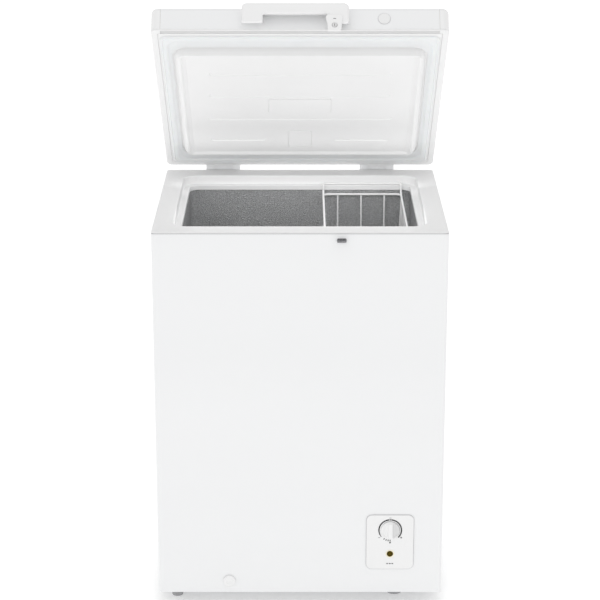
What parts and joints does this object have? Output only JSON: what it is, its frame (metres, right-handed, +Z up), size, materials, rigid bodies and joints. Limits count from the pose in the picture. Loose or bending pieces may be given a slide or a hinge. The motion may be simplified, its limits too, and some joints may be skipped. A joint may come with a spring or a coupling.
{
  "type": "chest freezer",
  "caption": "Free-standing top-opening freezer cabinet with a hinged insulated lid, a wire basket, a lock, a dial and a drain plug.",
  "frame": {"origin": "middle of the footprint of the freezer with its lid open as modelled, on the floor", "axes": "+Z up, -Y towards the user in front, +X to the right as seen from the front"},
  "size_m": [0.565, 0.5632, 1.1833],
  "materials": {
    "white_steel": "satin",
    "white_plastic": "satin",
    "grey_plastic": "matte",
    "gasket": "matte",
    "foam": "matte",
    "aluminium": "satin",
    "galvanised_steel": "satin",
    "black_steel": "satin",
    "black_rubber": "matte",
    "copper": "satin",
    "dark_metal": "satin",
    "steel": "satin",
    "amber_lens": "gloss",
    "coated_wire": "satin"
  },
  "bodies": {
    "cabinet": {"base_plate": "galvanised_steel", "capillary_tube": "copper", "compressor": "black_steel", "compressor_bay_wall": "galvanised_steel", "compressor_cradle": "black_steel", "compressor_grommet_1": "black_rubber", "compressor_grommet_2": "black_rubber", "compressor_grommet_3": "black_rubber", "compressor_grommet_4": "black_rubber", "compressor_mount_plate": "galvanised_steel", "condenser_coil": "copper", "control_bezel": "white_plastic", "cord_gland": "black_rubber", "discharge_tube": "copper", "drain_tube": "grey_plastic", "evaporator_coil": "aluminium", "filter_drier": "copper", "foam_insulation": "foam", "foot_front_left": "grey_plastic", "foot_front_right": "grey_plastic", "foot_rear_left": "grey_plastic", "foot_rear_right": "grey_plastic", "hinge_cabinet_leaf_left": "steel", "hinge_cabinet_leaf_right": "steel", "hinge_pin_left": "steel", "hinge_pin_right": "steel", "hinge_spring_left": "steel", "hinge_spring_right": "steel", "indicator_holder": "grey_plastic", "indicator_lens": "amber_lens", "inner_liner": "aluminium", "lock_strike": "dark_metal", "outer_wrapper": "white_steel", "rear_panel": "white_steel", "rear_vent_grille": "grey_plastic", "relay_cover": "black_rubber", "suction_tube": "copper", "thermostat_body": "grey_plastic", "thermostat_probe_tube": "copper", "top_collar": "white_plastic"},
    "lid": {"lid_outer_panel": "white_steel", "lid_corner_cap_left": "white_plastic", "lid_corner_cap_right": "white_plastic", "lid_frame": "white_plastic", "lid_inner_liner": "white_plastic", "lid_foam": "foam", "lid_gasket": "gasket", "lid_handle": "white_plastic", "lock_housing": "white_plastic", "fascia_screw_cap": "white_plastic", "hinge_lid_leaf_left": "steel", "hinge_lid_leaf_right": "steel"},
    "dial": {"thermostat_knob": "white_plastic"},
    "key_barrel": {"lock_barrel": "steel"},
    "bolt": {"lock_bolt": "steel"},
    "front_plug": {"front_drain_plug": "white_plastic"},
    "inner_plug": {"inner_drain_plug": "white_plastic"},
    "basket": {"storage_basket": "coated_wire"}
  },
  "joints": [
    {"name": "lid_hinge", "type": "hinge", "parent": "cabinet", "child": "lid", "pos_m": [0, 0.25787, 0.78326], "axis": [-1, 0, 0], "range_deg": [-41.4, 35], "stiffness_Nm_per_rad": 5.25, "springref_deg": 35},
    {"name": "thermostat_turn", "type": "hinge", "parent": "cabinet", "child": "dial", "pos_m": [0.179, -0.26978, 0.1602], "axis": [0, 1, 0], "range_deg": [-140, 140]},
    {"name": "key_turn", "type": "hinge", "parent": "lid", "child": "key_barrel", "pos_m": [0.065, -0.17846, 1.14746], "axis": [0, 0.7501, -0.6613], "range_deg": [0, 360]},
    {"name": "bolt_slide", "type": "slide", "parent": "lid", "child": "bolt", "axis": [0, -0.299, -0.9542], "range_m": [0, 0.0285]},
    {"name": "front_plug_pull", "type": "slide", "parent": "cabinet", "child": "front_plug", "axis": [0, -1, 0], "range_m": [0, 0.025]},
    {"name": "inner_plug_pull", "type": "slide", "parent": "cabinet", "child": "inner_plug", "axis": [0, 0, 1], "range_m": [0, 0.035]},
    {"name": "basket_slide", "type": "slide", "parent": "cabinet", "child": "basket", "axis": [-1, 0, 0], "range_m": [0, 0.262]}
  ],
  "couplings": [
    {"joint": "key_turn", "follows": "bolt_slide", "rad_per_m": 220}
  ]
}
